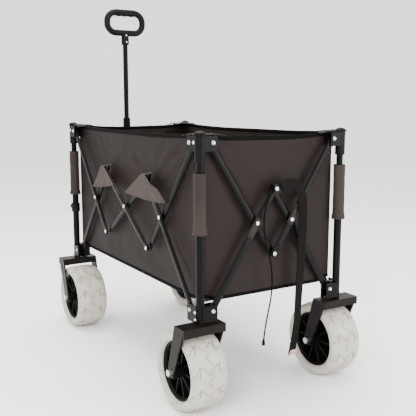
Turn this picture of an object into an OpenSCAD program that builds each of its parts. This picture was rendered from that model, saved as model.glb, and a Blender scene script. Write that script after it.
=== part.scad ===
// Folding beach cart: four telescopic corner posts joined by scissor bars, a fabric tub with a two-leaf
// floor, balloon-tyred casters and a telescopic pull handle. +X is the handle end, +Y the left side, +Z up.
// The origin is on the ground under the middle of the cart.

/* [Frame] */
// Distance between the left and right post axes
track_w = 456; // [400:1:560]
// Distance between the front and rear post axes
base_l = 880; // [780:1:1060]
// Height of the underside of the post brackets
bracket_z = 245; // [240:1:300]
// Height from a bottom bar pivot to the top bar pivot above it
pivot_rise = 428; // [350:1:520]
// Height of the bottom bar pivot above the underside of its bracket
pivot_up = 28; // [22:1:40]
// Distance along the wall from a post axis to its bar pivots
pivot_in = 32; // [26:1:45]

/* [Scissor bars] */
// Bar width
bar_w = 20; // [14:1:26]
// Bar thickness
bar_t = 9; // [5:0.5:12]
// Gap between the two layers of bars
layer_gap = 1; // [0.6:0.1:3]
// Half the height between the mid joints of a short side
mid_rise_short = 88; // [60:1:130]
// Half the height between the mid joints of a long side
mid_rise_long = 102; // [60:1:140]
// Run of each outer bar on a long side
outer_run_long = 260; // [200:1:320]
// Rivet shank radius
pin_r = 3; // [2:0.25:5]
// Radial clearance of the bars on their rivets
pin_clear = 0.06; // [0.03:0.01:0.1]

/* [Posts] */
// Lower tube outer radius
lower_r = 11; // [9:0.5:14]
// Radial gap between the upper and the lower tube
slide_clear = 0.4; // [0.2:0.05:0.8]
// Wall of both tubes
tube_wall = 1.4; // [1:0.1:2]
// Length of the lower tube
lower_len = 355; // [280:1:420]
// Length of upper tube hidden in the lower tube
overlap = 150; // [110:1:200]
// Radius of the domed cap
cap_r = 15; // [12:0.5:20]
// Height of the cap top above the top bar pivot
cap_up = 29; // [24:1:40]

/* [Casters] */
// Tyre outside diameter
tyre_d = 216; // [180:1:216]
// Tyre width
tyre_w = 104; // [70:1:110]
// Rim diameter
rim_d = 150; // [110:1:160]
// Distance from the swivel axis back to the axle
trail = 47; // [35:1:60]
// Gap between the tyre and each fork leg
fork_gap = 5; // [3:0.5:10]
// Fork plate thickness
fork_t = 5; // [3:0.5:8]
// Axle radius
axle_r = 6; // [5:0.5:8]

/* [Handle] */
// Distance of the handle in front of the front posts
handle_out = 45; // [36:1:70]
// Height of the handle pivot
handle_z = 345; // [320:1:380]
// Height of the top of the grip
grip_top = 1138; // [1050:1:1250]
// Width of the grip
grip_w = 165; // [120:1:190]
// Height of the grip loop
grip_h = 97; // [80:1:120]
// Radius of the grip bar
grip_r = 13; // [9:0.5:16]
// Outer handle tube radius
handle_r = 11; // [9:0.5:14]
// Wall of the outer handle tube
handle_wall = 1.7; // [1:0.1:2.5]
// Radial gap between the two handle tubes
handle_clear = 0.3; // [0.2:0.05:0.8]
// Height of the top of the outer handle tube
handle_tube_top = 742; // [650:1:800]

/* [Fabric] */
// Thickness of the padded wall and floor panels
cloth_t = 3; // [2:0.5:5]
// Gap between the fabric walls and the nearest hardware
cloth_clear = 1.5; // [1:0.1:4]
// Height of the lower edge of the walls above the bracket underside
cloth_up = 46; // [45:1:70]
// Gap between fabric panels
cloth_gap = 0.6; // [0.4:0.1:2]
// Thickness of the floor leaves
floor_t = 6; // [4:0.5:10]

/* [Hidden] */
$fn = 48;
SIDES = ["front", "left", "rear", "right"];
CORNERS = ["fl", "rl", "rr", "fr"];
SHORT_BARS = 4;
LONG_BARS = 6;
CORNER_PARTS = ["post_", "upper_post_", "fork_", "tyre_", "rim_"];
function bar_count(s) = s == "front" || s == "rear" ? SHORT_BARS : LONG_BARS;
function bars_of(s) = [for (i = [1 : bar_count(s)]) str(s, "_bar_", i)];

black = "#1b1a19";
zinc = "#b9bcbc";
cloth = "#4d4643";
rubber = "#b8b5ae";
plastic = "#262423";

// heights
low_z = bracket_z + pivot_up;
top_z = low_z + pivot_rise;
mid_z = (low_z + top_z) / 2;
half_rise = pivot_rise / 2;

// the two bar layers, measured outward from the post axes
plate_gap = 1.4;
plate_t = 2.8;
plate_out = lower_r - 1;
outer_face = plate_out - plate_gap;
outer_n = outer_face - bar_t;
inner_n = outer_n - layer_gap - bar_t;
head_gap = 0.3;
head_t = 2.4;
head_r = pin_r + 2;
bore_r = pin_r + pin_clear;
upper_r = lower_r - tube_wall - slide_clear;
slider_r = handle_r - handle_wall - handle_clear;

// bracket plates stand clear of both layers
plate_in = inner_n - plate_gap - plate_t;
bracket_h = pivot_up + 16;
top_bracket_drop = 21;
wing = pivot_in + 12;
clip_t = 4;
cloth_in = max(-plate_in, lower_r + clip_t) + cloth_clear;

// casters
axle_z = tyre_d / 2;
fork_top = bracket_z - 4;
fork_in = tyre_w / 2 + fork_gap;
fork_half = fork_in + fork_t;
kingpin_r = 6;
swivel_clear = 0.06;

// side k counts front, left, rear, right; the local frame has x along the wall, y up and z outward
function half_out(k) = (k % 2 == 0 ? base_l : track_w) / 2;
function half_span(k) = (k % 2 == 0 ? track_w : base_l) / 2 - pivot_in;
module on_side(k) {
    rotate([0, 0, 90 * k]) translate([half_out(k), 0, 0]) rotate([90, 0, 90]) children();
}
// corner k is where side k ends: its local frame has x and y pointing out of the cart
function corner_sign(k) = [[1, 1], [-1, 1], [-1, -1], [1, -1]][k];
module at_corner(k) {
    s = corner_sign(k);
    translate([s[0] * base_l / 2, s[1] * track_w / 2, 0]) rotate([0, 0, 90 * k]) children();
}

// joint points of a side as [x, y] in its own frame
function mid_rise(k) = k % 2 == 0 ? mid_rise_short : mid_rise_long;
function run(k) = k % 2 == 0 ? half_span(k) : outer_run_long;
function cross_run(k) = run(k) * half_rise / (half_rise + mid_rise(k));
function low_start(k) = [-half_span(k), low_z];
function top_start(k) = [-half_span(k), top_z];
function low_end(k) = [half_span(k), low_z];
function top_end(k) = [half_span(k), top_z];
function mid_up(k, s) = [s * (half_span(k) - run(k)), mid_z + mid_rise(k)];
function mid_down(k, s) = [s * (half_span(k) - run(k)), mid_z - mid_rise(k)];
function crossing(k, s) = [s * (half_span(k) - cross_run(k)), mid_z];

function heading(p, q) = atan2(q[1] - p[1], q[0] - p[0]);

// one rivet through both layers
module rivet(back = inner_n - head_gap - head_t, front = outer_face + head_gap + head_t) {
    translate([0, 0, back]) cylinder(r = pin_r, h = front - back);
    translate([0, 0, back]) cylinder(r = head_r, h = head_t);
    translate([0, 0, front - head_t]) cylinder(r = head_r, h = head_t);
}

// a bar from p to q in one layer, drilled at holes and carrying fixed rivets at pins
module bar(p, q, layer, holes, pins = []) {
    n = layer == "outer" ? outer_n : inner_n;
    color(black) difference() {
        translate([p[0], p[1], n]) rotate([0, 0, heading(p, q)]) linear_extrude(bar_t) {
            translate([0, -bar_w / 2]) square([norm(q - p), bar_w]);
            circle(r = bar_w / 2);
            translate([norm(q - p), 0]) circle(r = bar_w / 2);
        }
        for (h = holes) translate([h[0], h[1], n - 1]) cylinder(r = bore_r, h = bar_t + 2);
    }
    color(zinc) for (h = pins) translate([h[0], h[1], 0]) rivet();
}

module short_bar(k, i) {
    on_side(k) {
        if (i == 1) bar(low_start(k), mid_up(k, 1), "outer", [low_start(k), crossing(k, -1), mid_up(k, 1)]);
        if (i == 2)
            bar(top_start(k), mid_down(k, 1), "inner", [top_start(k), crossing(k, -1), mid_down(k, 1)]);
        if (i == 3) bar(mid_up(k, 1), low_end(k), "inner", [low_end(k), crossing(k, 1), mid_up(k, 1)]);
        if (i == 4) bar(mid_down(k, 1), top_end(k), "outer", [top_end(k)], [crossing(k, 1), mid_down(k, 1)]);
    }
}

module long_bar(k, i) {
    on_side(k) {
        if (i == 1)
            bar(top_start(k), mid_down(k, -1), "outer", [top_start(k), crossing(k, -1), mid_down(k, -1)]);
        if (i == 2)
            bar(low_start(k), mid_up(k, -1), "inner", [low_start(k)], [crossing(k, -1), mid_up(k, -1)]);
        if (i == 3) bar(mid_down(k, -1), mid_up(k, 1), "inner", [mid_down(k, -1), [0, mid_z], mid_up(k, 1)]);
        if (i == 4) bar(mid_up(k, -1), mid_down(k, 1), "outer", [mid_up(k, -1), [0, mid_z], mid_down(k, 1)]);
        if (i == 5) bar(mid_up(k, 1), low_end(k), "outer", [low_end(k), crossing(k, 1), mid_up(k, 1)]);
        if (i == 6) bar(mid_down(k, 1), top_end(k), "inner", [top_end(k), mid_down(k, 1)], [crossing(k, 1)]);
    }
}

// the loose rivets of a side, at a crossing and a top joint;
// a long side's bottom joints are open in the linkage
module rivets(k) {
    points = k % 2 == 0 ? [crossing(k, -1), mid_up(k, 1)] : [[0, mid_z], mid_up(k, 1)];
    color(zinc) on_side(k) for (p = points) translate([p[0], p[1], 0]) rivet();
}

// bracket at a post: a block behind the tube, two outer and two inner wings, and the bar pivots at z_pivot;
// pins lists which of its two faces carry a pivot pin
module bracket(z0, h, z_pivot, pins = [0, 1]) {
    full = plate_out + plate_t;
    translate([plate_in, plate_in, z0]) cube([-plate_in, -plate_in, h]);
    for (t = [0, 1]) mirror([t, -t, 0]) {
        translate([-wing, plate_out, z0]) cube([wing, plate_t, h]);
        translate([-wing, plate_in, z0]) cube([wing + plate_in + 1, plate_t, h]);
    }
    for (t = pins) mirror([t, -t, 0]) {
        translate([-pivot_in, plate_in, z_pivot]) rotate([-90, 0, 0])
            cylinder(r = pin_r, h = full - plate_in);
        translate([-pivot_in, full, z_pivot]) rotate([-90, 0, 0]) cylinder(r = head_r, h = head_t);
    }
}

module post(k) {
    at_corner(k) color(black) difference() {
        union() {
            bracket(bracket_z, bracket_h, low_z);
            translate([0, 0, bracket_z]) cylinder(r = lower_r, h = lower_len);
        }
        translate([0, 0, bracket_z + plate_t + 2]) cylinder(r = lower_r - tube_wall, h = lower_len);
        translate([0, 0, bracket_z - 1]) cylinder(r = kingpin_r + swivel_clear, h = 12);
    }
}

module upper_post(k) {
    collar_h = 46;
    collar_r = lower_r + 2.5;
    tube_bottom = bracket_z + lower_len - overlap;
    cap_z = top_z + cap_up;
    dome_h = 8;
    block_h = 38;
    at_corner(k) {
        color(plastic) {
            // the long side's top pivot is the open one of the linkage, so only the short side has its pin
            bracket(top_z - top_bracket_drop, block_h, top_z, [k % 2 == 0 ? 1 : 0]);
            translate([0, 0, top_z - collar_h]) cylinder(r = collar_r, h = cap_z - dome_h - top_z + collar_h);
            translate([0, 0, cap_z - dome_h - 3]) cylinder(r = cap_r + 3, h = 3);
            translate([0, 0, cap_z - dome_h]) rotate_extrude() dome(cap_r, dome_h);
        }
        color(black) difference() {
            translate([0, 0, tube_bottom]) cylinder(r = upper_r, h = top_z - tube_bottom);
            translate([0, 0, tube_bottom - 1])
                cylinder(r = upper_r - tube_wall, h = top_z - tube_bottom - 20);
        }
    }
}

// half outline of a low dome of radius r and height h
module dome(r, h) {
    steps = 10;
    polygon(concat([[0, 0]], [for (i = [0 : steps]) [r * cos(90 * i / steps), h * sin(90 * i / steps)]]));
}

// the wheel trails inward on both ends of the cart
module at_caster(k) {
    at = corner_sign(k);
    translate([at[0] * base_l / 2, at[1] * track_w / 2, 0]) rotate([0, 0, at[0] > 0 ? 180 : 0]) children();
}

module fork(k) {
    leg_top = 25;
    leg_foot = 15;
    flange_h = 22;
    flange_t = 4;
    nut_r = 9.5;
    nut_h = 8;
    kingpin_h = 34;
    lean = atan2(trail, fork_top - axle_z);
    at_caster(k) {
        color(plastic) {
            translate([-leg_top, -fork_half, fork_top - fork_t]) cube([2 * leg_top, 2 * fork_half, fork_t]);
            for (x = [-leg_top, leg_top - flange_t])
                translate([x, -fork_half, fork_top - flange_h]) cube([flange_t, 2 * fork_half, flange_h]);
            for (s = [-1, 1]) translate([0, s * (fork_in + fork_t / 2) + fork_t / 2, 0]) rotate([90, 0, 0]) {
                linear_extrude(fork_t) {
                    polygon([[-leg_top, fork_top], [leg_top, fork_top],
                             [trail + leg_foot * cos(lean), axle_z + leg_foot * sin(lean)],
                             [trail - leg_foot * cos(lean), axle_z - leg_foot * sin(lean)]]);
                    translate([trail, axle_z]) circle(r = leg_foot);
                }
            }
        }
        color(zinc) {
            translate([0, 0, fork_top - fork_t]) cylinder(r = kingpin_r, h = kingpin_h);
            translate([0, 0, fork_top - 0.1]) cylinder(r = lower_r, h = bracket_z - fork_top - 0.3);
            translate([trail, fork_half + nut_h, axle_z]) rotate([90, 0, 0])
                cylinder(r = axle_r, h = 2 * (fork_half + nut_h));
            for (s = [-1, 1]) translate([trail, s * (fork_half + nut_h / 2), axle_z]) rotate([90, 0, 0])
                cylinder(r = nut_r, h = nut_h, center = true, $fn = 6);
        }
    }
}

// half section of the balloon tyre, a rounded box from the rim seat out to the tread
function tyre_outline(r_in, r_out, w, n = 28) =
    let (mid = (r_in + r_out) / 2, half = (r_out - r_in) / 2)
    [for (i = [0 : n - 1]) let (t = 360 * i / n, c = cos(t), s = sin(t), power = 0.72)
        [mid + half * sign(c) * pow(abs(c), power), w / 2 * sign(s) * pow(abs(s), power)]];

module on_axle(k) {
    at_caster(k) translate([trail, 0, axle_z]) rotate([90, 0, 0]) children();
}

module tyre(k) {
    seat = 0.2;
    color(rubber) on_axle(k) rotate_extrude($fn = 72)
        polygon(tyre_outline(rim_d / 2 + seat, tyre_d / 2, tyre_w));
}

module rim(k) {
    hub_r = 17;
    barrel_w = tyre_w - 34;
    barrel_t = 4;
    web_t = 6;
    spokes = 10;
    hub_half = fork_in - 1.5;
    color(plastic) on_axle(k) difference() {
        union() {
            cylinder(r = hub_r, h = 2 * hub_half, center = true);
            cylinder(r = rim_d / 2 - 1, h = web_t, center = true);
            difference() {
                cylinder(r = rim_d / 2, h = barrel_w, center = true);
                cylinder(r = rim_d / 2 - barrel_t, h = barrel_w + 2, center = true);
            }
            for (i = [0 : spokes - 1]) rotate([0, 0, 360 / spokes * i])
                translate([hub_r - 1, -2, -barrel_w / 2]) cube([rim_d / 2 - hub_r - 1, 4, barrel_w]);
        }
        cylinder(r = axle_r + swivel_clear, h = 2 * fork_in, center = true);
    }
}

rim_below_cap = 10;
cloth_z0 = bracket_z + cloth_up;
cloth_z1 = top_z + cap_up - rim_below_cap;

module wall(k) {
    // the end walls reach the corners, and the side walls butt against them
    short = half_span(k) + pivot_in - cloth_in;
    half = k % 2 == 0 ? short : short - cloth_t - cloth_gap;
    color(cloth) on_side(k) translate([-half, cloth_z0, -cloth_in - cloth_t])
        cube([2 * half, cloth_z1 - cloth_z0, cloth_t]);
}

module floor_leaf(s) {
    half_l = base_l / 2 - cloth_in - cloth_t - cloth_gap;
    half_w = track_w / 2 - cloth_in - cloth_t - cloth_gap;
    y0 = s > 0 ? cloth_gap : -half_w;
    color(cloth) translate([-half_l, y0, cloth_z0]) cube([2 * half_l, half_w - cloth_gap, floor_t]);
}

// handle: a bracket on the bottom-middle joint of the front side carries the pole
handle_x = base_l / 2 + handle_out;
ear_in = handle_r + 1;
ear_t = 4;
ear_r = 14;
handle_pin_r = 5;
module handle_mount() {
    back = base_l / 2 + outer_face + head_gap + head_t + 1;
    joint_z = mid_z - mid_rise_short;
    plate = 4;
    color(plastic) difference() {
        union() {
            translate([back, -ear_in - ear_t, handle_z - ear_r])
                cube([plate, 2 * (ear_in + ear_t), joint_z - handle_z + 2 * ear_r]);
            for (s = [-1, 1]) translate([back, s * (ear_in + ear_t / 2) - ear_t / 2, handle_z - ear_r])
                cube([handle_x - back, ear_t, 2 * ear_r]);
            for (s = [-1, 1]) translate([handle_x, s * (ear_in + ear_t / 2) + ear_t / 2, handle_z])
                rotate([90, 0, 0]) cylinder(r = ear_r, h = ear_t);
        }
        translate([back - 1, 0, joint_z]) rotate([0, 90, 0]) cylinder(r = bore_r, h = plate + 2);
    }
    color(zinc) translate([handle_x, ear_in + ear_t + 2, handle_z]) rotate([90, 0, 0])
        cylinder(r = handle_pin_r, h = 2 * (ear_in + ear_t + 2));
}

module handle_tube() {
    collar_h = 34;
    color(black) difference() {
        union() {
            translate([handle_x, 0, handle_z - ear_r])
                cylinder(r = handle_r, h = handle_tube_top - handle_z + ear_r);
            translate([handle_x, 0, handle_tube_top - collar_h]) cylinder(r = handle_r + 2.5, h = collar_h);
        }
        translate([handle_x, 0, handle_z + ear_r]) cylinder(r = slider_r + handle_clear, h = handle_tube_top);
        translate([handle_x, 2 * handle_r, handle_z]) rotate([90, 0, 0])
            cylinder(r = handle_pin_r + pin_clear, h = 4 * handle_r);
    }
}

grip_low = grip_top - grip_h;
module handle_slider() {
    inside = 45;
    length = grip_low - handle_tube_top + inside;
    color(black) translate([handle_x, 0, handle_tube_top - inside]) difference() {
        cylinder(r = slider_r, h = length);
        translate([0, 0, -1]) cylinder(r = slider_r - tube_wall, h = length - 20);
    }
}

module handle_grip() {
    bend = grip_h / 2 - 15.5;
    y1 = grip_w / 2 - grip_r;
    z0 = grip_low + grip_r;
    z1 = grip_top - grip_r;
    neck_r = slider_r + 5;
    neck_h = 30;
    color(plastic) translate([handle_x, 0, 0]) {
        for (z = [z0, z1]) translate([0, y1 - bend, z]) rotate([90, 0, 0])
            cylinder(r = grip_r, h = 2 * (y1 - bend));
        for (s = [-1, 1]) translate([0, s * y1, z0 + bend])
            cylinder(r = grip_r, h = z1 - z0 - 2 * bend + 0.01);
        for (s = [-1, 1], v = [0, 1]) translate([0, s * (y1 - bend), v == 0 ? z0 + bend : z1 - bend])
            rotate([90, 0, 90]) rotate([0, 0, v == 1 ? (s > 0 ? 0 : 90) : (s > 0 ? 270 : 180)])
                rotate_extrude(angle = 90) translate([bend, 0]) circle(r = grip_r);
        difference() {
            translate([0, 0, grip_low - neck_h]) cylinder(r = neck_r, h = neck_h + grip_r);
            translate([0, 0, grip_low - neck_h - 1]) cylinder(r = slider_r + 0.05, h = neck_h + 1);
        }
    }
}

// rear straps hang from a small tab on the top-middle joint
strap_x = -base_l / 2 - outer_face - 8;
tab_z = mid_z + mid_rise_short;
module strap_tab() {
    color(zinc) difference() {
        translate([strap_x + 2.4, -10, tab_z - 12]) cube([2, 20, 24]);
        translate([strap_x, 0, tab_z]) rotate([0, 90, 0]) cylinder(r = bore_r, h = 8);
    }
}

// routes as [sideways, up] from the tab, and how far out they lie
STRAP_W = 27;
STRAP_T = 2.4;
STRAP_ROUTE = [[-11, 2], [-24, 9], [-40, 12], [-56, 8], [-70, -3], [-80, -20], [-85, -42], [-86, -65],
    [-86, -95], [-85, -130], [-84, -170], [-83, -210], [-80, -250], [-78, -290], [-76, -330], [-74, -370],
    [-68, -410], [-62, -440], [-58, -465]];
STRING_R = 2.5;
STRING_ROUTE = [[11, -4], [20, -12], [28, -22], [34, -34], [39, -48], [42, -65], [43, -85], [42, -110],
    [36, -140], [27, -170], [19, -200], [15, -230], [14, -260], [17, -290], [23, -320], [30, -350], [36, -380],
    [39, -405], [40, -420]];

function unit(v) = v / norm(v);
function along(r, i) = unit(r[min(i + 1, len(r) - 1)] - r[max(i - 1, 0)]);
// a tube of half width a across the route and half thickness b out of the wall
module swept(route, a, b, sides = 8) {
    n = len(route);
    ring = [for (i = [0 : n - 1], j = [0 : sides - 1])
        let (d = along(route, i), t = 360 * j / sides, w = a * cos(t))
        [strap_x - b + b * sin(t), route[i][0] - d[1] * w, tab_z + route[i][1] + d[0] * w]];
    skin = [for (i = [0 : n - 2], j = [0 : sides - 1]) let (k = (j + 1) % sides)
        [i * sides + j, i * sides + k, (i + 1) * sides + k, (i + 1) * sides + j]];
    caps = [[for (j = [sides - 1 : -1 : 0]) j], [for (j = [0 : sides - 1]) (n - 1) * sides + j]];
    polyhedron(points = ring, faces = concat(skin, caps));
}

module closing_strap() { color(black) swept(STRAP_ROUTE, STRAP_W / 2, STRAP_T / 2); }
module drawstring() { color(black) swept(STRING_ROUTE, STRING_R, STRING_R); }

// clamp with a thumb knob on the front-left post
module post_clip() {
    clip_z = 410;
    clip_h = 30;
    arm_w = 10;
    arm_out = 14;
    knob_r = 9;
    knob_t = 8;
    at_corner(0) color(plastic) {
        difference() {
            translate([0, 0, clip_z]) cylinder(r = lower_r + clip_t, h = clip_h);
            translate([0, 0, clip_z - 1]) cylinder(r = lower_r + 0.1, h = clip_h + 2);
        }
        translate([lower_r + 2, -arm_w / 2, clip_z + 4]) cube([arm_out, arm_w, clip_h - 8]);
        translate([lower_r + arm_out + 1, 0, clip_z + clip_h / 2]) rotate([0, 90, 0])
            cylinder(r = knob_r, h = knob_t, $fn = 24);
    }
}

for (k = [0 : 3]) {
    post(k);
    upper_post(k);
    fork(k);
    tyre(k);
    rim(k);
    for (i = [1 : bar_count(SIDES[k])]) union() {
        if (k % 2 == 0) short_bar(k, i);
        if (k % 2 == 1) long_bar(k, i);
    }
    rivets(k);
    wall(k);
}
floor_leaf(1);  // floor_left
floor_leaf(-1);  // floor_right
handle_mount();
handle_tube();
handle_slider();
handle_grip();
strap_tab();
closing_strap();
drawstring();
post_clip();
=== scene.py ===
# %% [markdown]
# # A folding beach cart
# The real thing is a canvas tub hung inside a frame of riveted, crossed steel bars. Four telescopic posts
# stand on swivel casters with wide foam tyres, and a telescopic handle stands at the front. The steel frame,
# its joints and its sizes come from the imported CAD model. This script gives every piece its finish, and
# builds the soft and rounded pieces that a plain CAD solid only stands in for.

# %% Load the frame
import math
import random

import bmesh
import bpy
import numpy as np
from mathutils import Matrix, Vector


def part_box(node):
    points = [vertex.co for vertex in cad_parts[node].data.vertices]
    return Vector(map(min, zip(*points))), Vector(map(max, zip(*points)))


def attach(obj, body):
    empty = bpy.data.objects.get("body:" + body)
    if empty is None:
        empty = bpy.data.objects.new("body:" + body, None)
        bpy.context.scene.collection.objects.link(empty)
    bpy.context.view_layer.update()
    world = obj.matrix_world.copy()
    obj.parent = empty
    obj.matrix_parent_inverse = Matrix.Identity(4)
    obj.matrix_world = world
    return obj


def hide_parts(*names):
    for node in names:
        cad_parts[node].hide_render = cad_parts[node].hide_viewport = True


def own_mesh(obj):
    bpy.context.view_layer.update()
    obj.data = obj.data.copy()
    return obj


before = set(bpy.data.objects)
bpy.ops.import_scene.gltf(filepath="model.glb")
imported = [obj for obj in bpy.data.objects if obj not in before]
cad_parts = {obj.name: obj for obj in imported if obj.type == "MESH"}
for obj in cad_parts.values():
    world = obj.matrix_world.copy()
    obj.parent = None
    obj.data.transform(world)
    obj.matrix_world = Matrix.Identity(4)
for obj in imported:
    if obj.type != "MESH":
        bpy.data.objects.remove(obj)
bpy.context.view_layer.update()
MM = 0.001

# %% [markdown]
# ## The camera
# The cart is seen from behind its rear-left corner, a little above the rim. A camera is placed by its
# position, its heading and how far it looks down. Its lens follows from the angle of view: a longer lens
# from further away would make the far posts look as tall as the near ones, so the distance matters as much
# as the direction.

# %% Place the camera
CAMERA_AT = Vector((-1.8185, 1.0482, 0.7965))
HEADING = -0.5491
LOOK_DOWN = 0.1581
SENSOR = 36.0
LENS = 56.87
camera_data = bpy.data.cameras.new("camera")
camera_data.sensor_width = SENSOR
camera_data.lens = LENS
camera = bpy.data.objects.new("camera", camera_data)
bpy.context.scene.collection.objects.link(camera)
level = math.cos(LOOK_DOWN)
gaze = Vector((math.cos(HEADING) * level, math.sin(HEADING) * level, -math.sin(LOOK_DOWN)))
camera.location = CAMERA_AT
camera.rotation_euler = gaze.to_track_quat("-Z", "Y").to_euler()
bpy.context.scene.camera = camera
print("camera is", round(CAMERA_AT.length, 2), "m from the cart's origin")

# %% [markdown]
# ## Light and floor
# Product pictures of dark canvas use a white sweep and large soft lights, so that black tubes still get a
# long pale highlight along one edge. Big area lights give that highlight. A bright even world fills the
# shadows.

# %% Floor, lights and world
def area_light(name, at, aim, size, power):
    data = bpy.data.lights.new(name, "AREA")
    data.size = size
    data.energy = power
    light = bpy.data.objects.new(name, data)
    bpy.context.scene.collection.objects.link(light)
    light.location = at
    light.rotation_euler = (Vector(aim) - Vector(at)).to_track_quat("-Z", "Y").to_euler()


area_light("key", (-2.6, 2.8, 2.6), (0, 0, 0.4), 1.6, 150)
area_light("fill", (-2.9, -1.6, 0.8), (0, 0, 0.35), 1.6, 70)
area_light("top", (0.3, 0.2, 3.4), (0, 0, 0.3), 2.2, 170)
world = bpy.data.worlds.new("studio")
bpy.context.scene.world = world
world.use_nodes = True
background = world.node_tree.nodes["Background"]
background.inputs["Color"].default_value = (1, 1, 1, 1)
background.inputs["Strength"].default_value = 1.9

# %% [markdown]
# ## How a material is made here
# Every finish is a Principled shader with small patterns in its nodes. Colours are written as the hex values
# that a screen shows, so they are first turned into the linear values that the renderer works in. One helper
# adds a node, sets its inputs and links what comes before it. Patterns are laid out in millimetres on the
# object itself.

# %% Colour and node helpers
def linear(hex_colour):
    """Turns an sRGB hex colour into linear red, green, blue and alpha."""
    values = [int(hex_colour[i:i + 2], 16) / 255 for i in (1, 3, 5)]
    return (*[v / 12.92 if v <= 0.04045 else ((v + 0.055) / 1.055) ** 2.4 for v in values], 1.0)


def add(tree, kind, settings=None, **links):
    """Adds a node. settings are its own properties; links are its inputs, as values or as outputs."""
    node = tree.nodes.new(kind)
    for key, value in (settings or {}).items():
        setattr(node, key, value)
    for key, value in links.items():
        socket = node.inputs[int(key[1:])] if key[1:].isdigit() else node.inputs[key.replace("_", " ")]
        if isinstance(value, bpy.types.NodeSocket):
            tree.links.new(value, socket)
        else:
            socket.default_value = value
    return node


def start_material(name, roughness, metallic=0.0, **shader):
    """A new material with its Principled shader and a coordinate in millimetres."""
    made = bpy.data.materials.new(name)
    made.use_nodes = True
    tree = made.node_tree
    surface = tree.nodes["Principled BSDF"]
    surface.inputs["Roughness"].default_value = roughness
    surface.inputs["Metallic"].default_value = metallic
    for key, value in shader.items():
        surface.inputs[key.replace("_", " ")].default_value = value
    place = add(tree, "ShaderNodeTexCoord").outputs["Object"]
    in_mm = add(tree, "ShaderNodeVectorMath", {"operation": "SCALE"}, Vector=place, Scale=1000.0).outputs[0]
    return made, tree, surface, in_mm


def noise(tree, at, size_mm, detail=3.0, roughness=0.55):
    """Cloudy noise whose largest lumps are about size_mm across."""
    node = add(tree, "ShaderNodeTexNoise", Vector=at, Scale=1 / size_mm, Detail=detail, Roughness=roughness)
    return node.outputs[0]


def spread(tree, value, low, high, from_low=0.3, from_high=0.7):
    """Maps a pattern onto a range of numbers."""
    node = add(tree, "ShaderNodeMapRange", {"clamp": True}, Value=value, From_Min=from_low,
               From_Max=from_high, To_Min=low, To_Max=high)
    return node.outputs[0]


def maths(tree, operation, *values):
    """One step of arithmetic on numbers or outputs."""
    inputs = {f"_{i}": value for i, value in enumerate(values)}
    return add(tree, "ShaderNodeMath", {"operation": operation}, **inputs).outputs[0]


def blend_colours(tree, factor, first, second):
    """Mixes two colours, given as hex or as a node's output."""
    node = add(tree, "ShaderNodeMix", {"data_type": "RGBA"})
    for index, value in ((0, factor), (6, first), (7, second)):
        if isinstance(value, bpy.types.NodeSocket):
            tree.links.new(value, node.inputs[index])
        else:
            node.inputs[index].default_value = linear(value) if isinstance(value, str) else value
    return node.outputs[2]


def bump(tree, surface, height, depth_mm, strength=1.0, under=None):
    """Adds relief of depth_mm; under is a coarser relief below it."""
    node = add(tree, "ShaderNodeBump", Height=height, Strength=strength, Distance=depth_mm * MM)
    if under is not None:
        tree.links.new(under, node.inputs["Normal"])
    tree.links.new(node.outputs[0], surface.inputs["Normal"])


def mottle(tree, surface, at, size_mm, dark, pale):
    """Tints a surface with soft clouds between two colours."""
    cloud = spread(tree, noise(tree, at, size_mm), 0, 1)
    tree.links.new(blend_colours(tree, cloud, dark, pale), surface.inputs["Base Color"])


def wear(tree, surface, at, size_mm, low, high):
    """Lets the roughness of a surface wander between two values."""
    tree.links.new(spread(tree, noise(tree, at, size_mm), low, high), surface.inputs["Roughness"])


# %% [markdown]
# ### Powder-coated steel
# The bars, posts and handle tubes are mild steel with a black polyester powder coat. Baked powder flows into
# a skin with a slight orange peel, so it has a soft highlight with wobbly edges and a little dust in the
# hollows.

# %% Powder-coated steel
def powder_coat(name, dark, pale, roughness):
    made, tree, surface, at = start_material(name, roughness, Specular_IOR_Level=0.07)
    mottle(tree, surface, at, 60, dark, pale)
    wear(tree, surface, at, 25, roughness - 0.06, roughness + 0.1)
    bump(tree, surface, noise(tree, at, 1.6, 2.0), 0.05, 0.5)
    return made


BAR_COAT = powder_coat("black_powder_coat", "#060505", "#0b0a0a", 0.27)
FORK_COAT = powder_coat("brown_black_powder_coat", "#100d0b", "#181411", 0.34)

# %% [markdown]
# ### Zinc-plated steel
# Rivets, axles and nuts are bright zinc over steel: a metal, so its colour tints its reflections, and its
# fine crystals break the highlight up a little.

# %% Zinc plate
def zinc_plate():
    made, tree, surface, at = start_material("zinc_plate", 0.3, 1.0)
    mottle(tree, surface, at, 2.5, "#c4c6c6", "#dcdddc")
    wear(tree, surface, at, 6, 0.22, 0.42)
    return made


ZINC = zinc_plate()

# %% [markdown]
# ### Moulded black plastic
# The corner brackets, caps and grip are black polypropylene from a spark-eroded mould. Its fine grain
# spreads the highlight, so it looks softer than the coated steel beside it.

# %% Moulded plastic
def moulded_plastic(name, dark, pale, roughness, grain_mm=0.9):
    made, tree, surface, at = start_material(name, roughness, Specular_IOR_Level=0.08)
    mottle(tree, surface, at, 40, dark, pale)
    wear(tree, surface, at, 12, roughness - 0.05, roughness + 0.08)
    bump(tree, surface, noise(tree, at, grain_mm, 2.0), 0.06, 0.6)
    return made


BRACKET_PLASTIC = moulded_plastic("black_polypropylene", "#090808", "#100f0f", 0.42)
RIM_PLASTIC = moulded_plastic("charcoal_rim_plastic", "#080707", "#0e0d0c", 0.5)
SHEATH_PLASTIC = moulded_plastic("grey_black_sheath", "#191716", "#24211f", 0.36)
GRIP_PLASTIC = moulded_plastic("black_grip_plastic", "#0a0908", "#110f0f", 0.45, 1.4)

# %% [markdown]
# ### Coated canvas
# The tub is 600-denier polyester in a plain weave with a coating on its inside. Threads lie about 0.5 mm
# apart, too fine to show from two metres, so the weave is drawn at 1.6 mm: enough to break up the highlight.
# The dye is even, but handling leaves broad paler clouds where the coating has been creased.

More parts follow.
